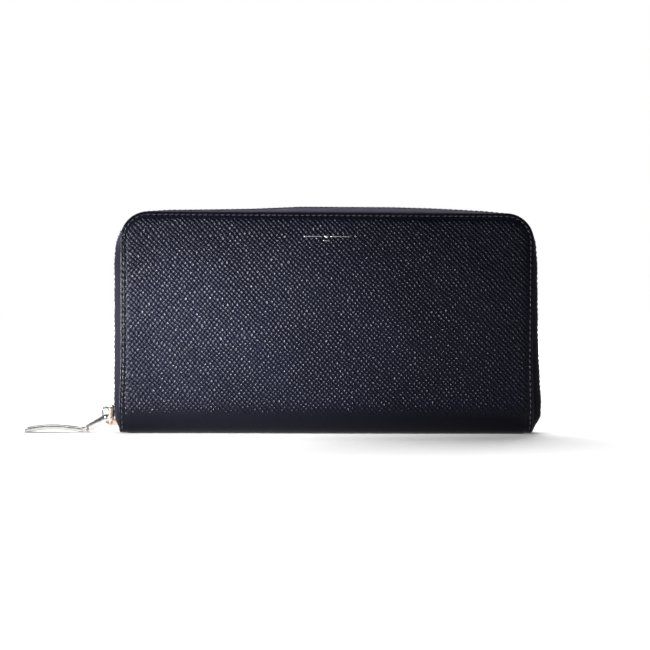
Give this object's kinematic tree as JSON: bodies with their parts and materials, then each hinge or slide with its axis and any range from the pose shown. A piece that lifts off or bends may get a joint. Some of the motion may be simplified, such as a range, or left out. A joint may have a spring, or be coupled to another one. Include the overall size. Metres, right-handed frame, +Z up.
{
  "type": "long wallet",
  "caption": "Round-zip long wallet in embossed leather, opening like a book on its spine, with card pockets, pleated sides and a zipped coin purse in the middle.",
  "frame": {"origin": "centre of the flat base of the spine, on which the wallet stands", "axes": "+X along the wallet towards its right end seen from the front, +Y from the front cover to the rear cover, +Z up from the spine to the top zip"},
  "size_m": [0.2379, 0.022, 0.1056],
  "materials": {
    "cover_leather": "satin cross-grain embossing",
    "pocket_leather": "smooth matte",
    "lining": "fine twill",
    "board": "bonded fibre board",
    "zip_tape": "woven tape",
    "zip_teeth": "dark coated metal",
    "hardware": "polished pale nickel"
  },
  "bodies": {
    "rear_half": {"rear_cover": "cover_leather", "spine": "cover_leather", "rear_lining": "lining", "spine_lining": "lining", "rear_board": "board", "rear_card_tier_1": "pocket_leather", "rear_card_tier_2": "pocket_leather", "rear_card_tier_3": "pocket_leather", "rear_card_tier_4": "pocket_leather", "rear_zip_tape": "zip_tape", "rear_zip_teeth": "zip_teeth", "zip_bottom_stop": "zip_teeth", "gusset_left": "lining", "gusset_right": "lining"},
    "front_half": {"front_cover": "cover_leather", "front_lining": "lining", "front_board": "board", "front_card_tier_1": "pocket_leather", "front_card_tier_2": "pocket_leather", "front_card_tier_3": "pocket_leather", "front_card_tier_4": "pocket_leather", "front_zip_tape": "zip_tape", "front_zip_teeth": "zip_teeth"},
    "slider": {"slider_body": "hardware", "slider_bridge": "hardware"},
    "pull_link": {"pull_link": "hardware", "link_pin": "hardware", "bar_pin": "hardware"},
    "pull_bar": {"pull_bar": "hardware"},
    "coin_purse": {"coin_front_wall": "pocket_leather", "coin_rear_wall": "pocket_leather", "coin_base": "pocket_leather", "coin_side_left": "pocket_leather", "coin_side_right": "pocket_leather", "coin_zip_tape_front": "zip_tape", "coin_zip_tape_rear": "zip_tape", "coin_zip_teeth_front": "hardware", "coin_zip_teeth_rear": "hardware", "coin_zip_stop": "hardware"},
    "coin_slider": {"coin_slider_body": "hardware", "coin_slider_bridge": "hardware"},
    "coin_pull": {"coin_pull": "hardware"}
  },
  "joints": [
    {"name": "cover_open", "type": "hinge", "parent": "rear_half", "child": "front_half", "pos_m": [0, -0.009, 0.002], "axis": [1, 0, 0], "range_deg": [0, 75], "deforming": ["front_zip_tape", "front_zip_teeth", "gusset_left", "gusset_right"]},
    {"name": "coin_purse_open", "type": "hinge", "parent": "rear_half", "child": "coin_purse", "pos_m": [0, -0.009, 0.002], "axis": [1, 0, 0], "range_deg": [0, 37.5]},
    {"name": "slider_slide", "type": "slide", "parent": "rear_half", "child": "slider", "axis": [0, 0, 1], "range_m": [0, 0.07]},
    {"name": "link_swing", "type": "hinge", "parent": "slider", "child": "pull_link", "pos_m": [-0.1021, 0, 0.0069], "axis": [0, 1, 0], "range_deg": [0, 75]},
    {"name": "bar_swing", "type": "hinge", "parent": "pull_link", "child": "pull_bar", "pos_m": [-0.1107, 0, 0.0017], "axis": [0, 1, 0], "range_deg": [-90, 30]},
    {"name": "coin_slider_slide", "type": "slide", "parent": "coin_purse", "child": "coin_slider", "axis": [1, 0, 0], "range_m": [0, 0.145], "deforming": ["coin_zip_tape_front", "coin_zip_tape_rear", "coin_zip_teeth_front", "coin_zip_teeth_rear"]},
    {"name": "coin_pull_swing", "type": "hinge", "parent": "coin_slider", "child": "coin_pull", "pos_m": [-0.0758, 0, 0.08395], "axis": [0, -1, 0], "range_deg": [0, 165]}
  ],
  "couplings": [
    {"joint": "coin_purse_open", "follows": "cover_open", "ratio": 0.5}
  ]
}
